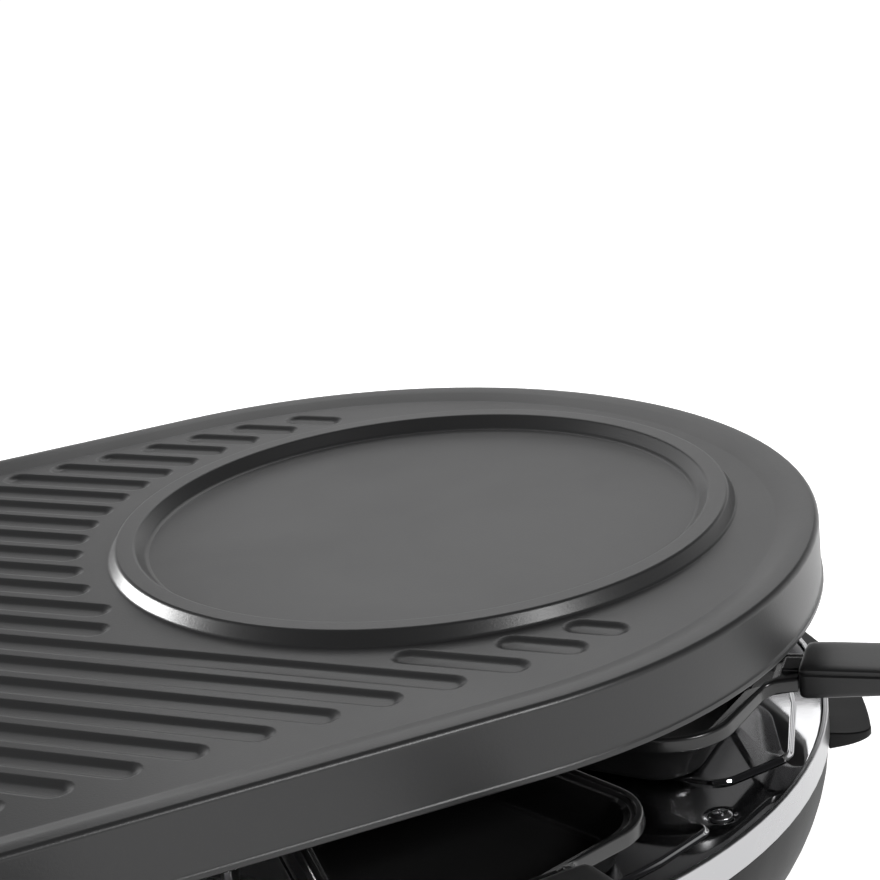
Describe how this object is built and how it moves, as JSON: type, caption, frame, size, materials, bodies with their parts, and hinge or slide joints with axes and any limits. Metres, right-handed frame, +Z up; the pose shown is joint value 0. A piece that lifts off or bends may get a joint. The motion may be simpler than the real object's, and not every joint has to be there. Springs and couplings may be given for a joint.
{
  "type": "raclette grill",
  "caption": "Oval tabletop raclette grill with a ribbed plate and crepe ring on top, and small handled pans that slide out from the reflector tray under it.",
  "frame": {"origin": "on the table, under the middle of the grill", "axes": "+Z up, +X along the plate's long axis towards the crepe ring, -Y towards the thermostat knob"},
  "size_m": [0.4702, 0.4816, 0.1179],
  "materials": {
    "coated_plate": "satin non-stick coating with fine speckle",
    "coated_pan": "glossy black non-stick coating",
    "polished_steel": "mirror polished",
    "satin_steel": "satin",
    "black_plastic": "satin, heat-resistant moulding",
    "dark_plastic": "satin",
    "heater_steel": "heat-darkened",
    "rubber": "matte",
    "red_lens": "clear gloss",
    "ceramic": "glazed"
  },
  "bodies": {
    "base": {"trim_ring": "satin_steel", "reflector_tray": "polished_steel", "base_housing": "dark_plastic", "carry_ledge_right": "dark_plastic", "carry_ledge_left": "dark_plastic", "heating_element": "heater_steel", "terminal_box": "satin_steel", "plate_support_front": "satin_steel", "plate_support_rear": "satin_steel", "plate_support_right": "satin_steel", "plate_support_left": "satin_steel", "tray_screw_1": "satin_steel", "tray_screw_2": "satin_steel", "tray_screw_3": "satin_steel", "tray_screw_4": "satin_steel", "tray_screw_5": "satin_steel", "tray_screw_6": "satin_steel", "foot_1": "rubber", "foot_2": "rubber", "foot_3": "rubber", "foot_4": "rubber", "thermostat_body": "ceramic", "pilot_lamp_lens": "red_lens", "cable_gland": "black_plastic"},
    "plate": {"grill_plate": "coated_plate"},
    "knob": {"thermostat_knob": "black_plastic", "thermostat_shaft": "satin_steel"},
    "pan_1_set": {"pan_1": "coated_pan", "pan_handle_1": "black_plastic"},
    "pan_2_set": {"pan_2": "coated_pan", "pan_handle_2": "black_plastic"},
    "pan_3_set": {"pan_3": "coated_pan", "pan_handle_3": "black_plastic"},
    "pan_4_set": {"pan_4": "coated_pan", "pan_handle_4": "black_plastic"},
    "pan_5_set": {"pan_5": "coated_pan", "pan_handle_5": "black_plastic"},
    "pan_6_set": {"pan_6": "coated_pan", "pan_handle_6": "black_plastic"},
    "pan_7_set": {"pan_7": "coated_pan", "pan_handle_7": "black_plastic"},
    "pan_8_set": {"pan_8": "coated_pan", "pan_handle_8": "black_plastic"}
  },
  "joints": [
    {"name": "plate_lift", "type": "slide", "parent": "base", "child": "plate", "axis": [0, 0, 1], "range_m": [0, 0.12]},
    {"name": "knob_turn", "type": "hinge", "parent": "base", "child": "knob", "pos_m": [0, -0.1506, 0.033], "axis": [0, 1, 0], "range_deg": [0, 270]},
    {"name": "pan_1_pull", "type": "slide", "parent": "base", "child": "pan_1_set", "axis": [0.1045, -0.9945, 0], "range_m": [0, 0.11]},
    {"name": "pan_2_pull", "type": "slide", "parent": "base", "child": "pan_2_set", "axis": [0.7683, -0.6401, 0], "range_m": [0, 0.12]},
    {"name": "pan_3_pull", "type": "slide", "parent": "base", "child": "pan_3_set", "axis": [0.1045, 0.9945, 0], "range_m": [0, 0.11]},
    {"name": "pan_4_pull", "type": "slide", "parent": "base", "child": "pan_4_set", "axis": [0.7683, 0.6401, 0], "range_m": [0, 0.12]},
    {"name": "pan_5_pull", "type": "slide", "parent": "base", "child": "pan_5_set", "axis": [-0.1045, 0.9945, 0], "range_m": [0, 0.11]},
    {"name": "pan_6_pull", "type": "slide", "parent": "base", "child": "pan_6_set", "axis": [-0.7683, 0.6401, 0], "range_m": [0, 0.12]},
    {"name": "pan_7_pull", "type": "slide", "parent": "base", "child": "pan_7_set", "axis": [-0.1045, -0.9945, 0], "range_m": [0, 0.11]},
    {"name": "pan_8_pull", "type": "slide", "parent": "base", "child": "pan_8_set", "axis": [-0.7683, -0.6401, 0], "range_m": [0, 0.12]}
  ]
}
